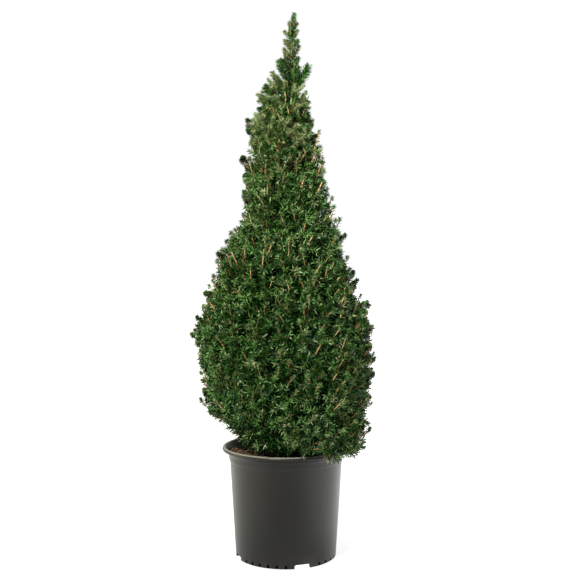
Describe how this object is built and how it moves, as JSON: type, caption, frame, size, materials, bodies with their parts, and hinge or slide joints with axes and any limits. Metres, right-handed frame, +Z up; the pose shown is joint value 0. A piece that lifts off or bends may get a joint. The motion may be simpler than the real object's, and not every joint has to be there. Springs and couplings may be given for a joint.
{
  "type": "potted dwarf alberta spruce",
  "caption": "Dense, narrow, cone-shaped dwarf spruce with short needles and a pointed leader, in a round dark plastic nursery pot with a rolled lip.",
  "frame": {"origin": "centre of the pot's flat underside", "axes": "+Z up along the trunk, -Y towards the front, +X to the viewer's right"},
  "size_m": [0.4032, 0.3889, 1.18],
  "materials": {
    "pot_plastic": "satin dark grey-brown moulded plastic",
    "potting_mix": "rough damp bark and peat crumbs",
    "bark": "scaly brown bark, orange-brown on young twigs",
    "foliage": "dense short green needles with a slight waxy sheen"
  },
  "bodies": {
    "root": {"pot": "pot_plastic", "soil": "potting_mix", "trunk": "bark", "bough_tier1_1": "bark", "bough_tier1_2": "bark", "bough_tier1_3": "bark", "bough_tier1_4": "bark", "bough_tier1_5": "bark", "bough_tier1_6": "bark", "bough_tier2_1": "bark", "bough_tier2_2": "bark", "bough_tier2_3": "bark", "bough_tier2_4": "bark", "bough_tier2_5": "bark", "bough_tier3_1": "bark", "bough_tier3_2": "bark", "bough_tier3_3": "bark", "bough_tier3_4": "bark", "bough_tier3_5": "bark", "bough_tier4_1": "bark", "bough_tier4_2": "bark", "bough_tier4_3": "bark", "bough_tier4_4": "bark", "foliage_leader": "foliage", "foliage_tier1_1": "foliage", "foliage_tier1_2": "foliage", "foliage_tier1_3": "foliage", "foliage_tier1_4": "foliage", "foliage_tier1_5": "foliage", "foliage_tier1_6": "foliage", "foliage_tier2_1": "foliage", "foliage_tier2_2": "foliage", "foliage_tier2_3": "foliage", "foliage_tier2_4": "foliage", "foliage_tier2_5": "foliage", "foliage_tier3_1": "foliage", "foliage_tier3_2": "foliage", "foliage_tier3_3": "foliage", "foliage_tier3_4": "foliage", "foliage_tier3_5": "foliage", "foliage_tier4_1": "foliage", "foliage_tier4_2": "foliage", "foliage_tier4_3": "foliage", "foliage_tier4_4": "foliage", "foliage_tier5_1": "foliage", "foliage_tier5_2": "foliage", "foliage_tier5_3": "foliage", "foliage_tier5_4": "foliage", "foliage_tier6_1": "foliage", "foliage_tier6_2": "foliage", "foliage_tier6_3": "foliage", "foliage_tier7_1": "foliage", "foliage_tier7_2": "foliage", "foliage_tier7_3": "foliage", "foliage_tier8_1": "foliage", "foliage_tier8_2": "foliage", "foliage_tier8_3": "foliage"}
  },
  "joints": []
}
